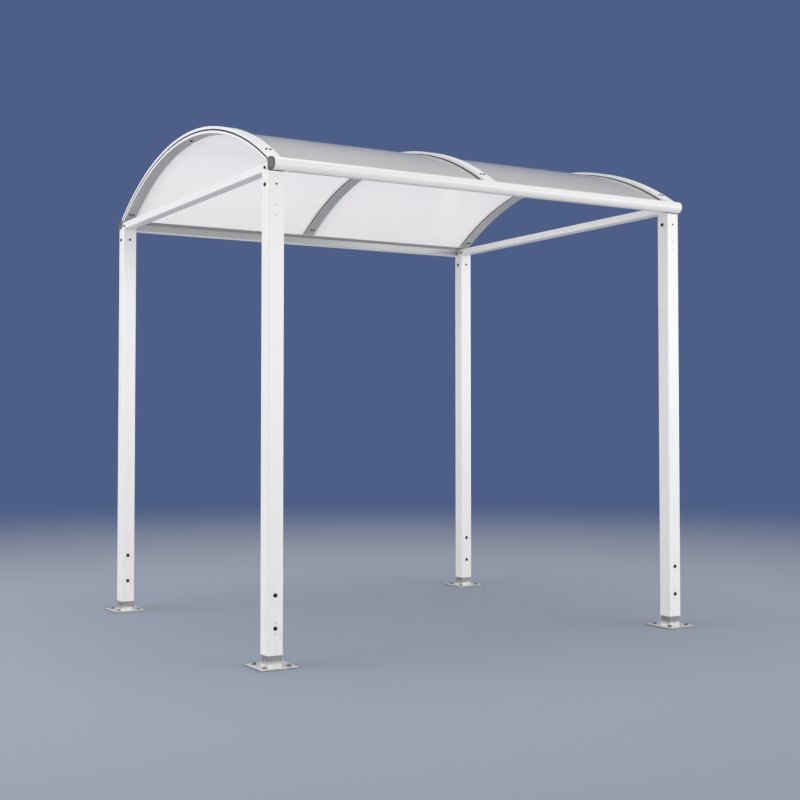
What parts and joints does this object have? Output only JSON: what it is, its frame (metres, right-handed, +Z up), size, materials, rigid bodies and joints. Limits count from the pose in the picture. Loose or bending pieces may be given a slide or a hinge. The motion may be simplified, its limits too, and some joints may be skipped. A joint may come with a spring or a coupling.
{
  "type": "waiting shelter",
  "caption": "Open-sided waiting shelter: square white posts on bolted feet, round-nosed eaves rails, end ties, and arches holding curved translucent roof sheets.",
  "frame": {"origin": "on the ground, under the middle of the roof", "axes": "+X along the shelter, +Y from front to rear, +Z up"},
  "size_m": [2.59, 2.27, 2.6518],
  "materials": {
    "white_powder_coat": "satin white powder coat",
    "white_aluminium": "satin white coated aluminium",
    "galvanised_steel": "dull hot-dip galvanised",
    "connector_steel": "dark grey primed steel",
    "dark_plastic": "matt dark grey moulding",
    "black_rubber": "matt black seal",
    "opal_sheet": "translucent twin-wall polycarbonate"
  },
  "bodies": {
    "root": {"base_plate_front_left": "galvanised_steel", "base_plate_front_right": "galvanised_steel", "base_plate_rear_left": "galvanised_steel", "base_plate_rear_right": "galvanised_steel", "foot_tube_front_left": "galvanised_steel", "foot_tube_front_right": "galvanised_steel", "foot_tube_rear_left": "galvanised_steel", "foot_tube_rear_right": "galvanised_steel", "post_front_left": "white_powder_coat", "post_front_right": "white_powder_coat", "post_rear_left": "white_powder_coat", "post_rear_right": "white_powder_coat", "connector_front_left": "connector_steel", "connector_front_right": "connector_steel", "connector_rear_left": "connector_steel", "connector_rear_right": "connector_steel", "rail_front": "white_powder_coat", "rail_rear": "white_powder_coat", "rail_cap_front_left": "dark_plastic", "rail_cap_front_right": "dark_plastic", "rail_cap_rear_left": "dark_plastic", "rail_cap_rear_right": "dark_plastic", "tie_left": "white_powder_coat", "tie_right": "white_powder_coat", "arch_bar_left": "white_aluminium", "arch_bar_middle": "white_aluminium", "arch_bar_right": "white_aluminium", "arch_seal_left": "black_rubber", "arch_seal_middle": "black_rubber", "arch_seal_right": "black_rubber", "arch_cap_left": "white_aluminium", "arch_cap_middle": "white_aluminium", "arch_cap_right": "white_aluminium", "roof_sheet_left": "opal_sheet", "roof_sheet_right": "opal_sheet"}
  },
  "joints": []
}
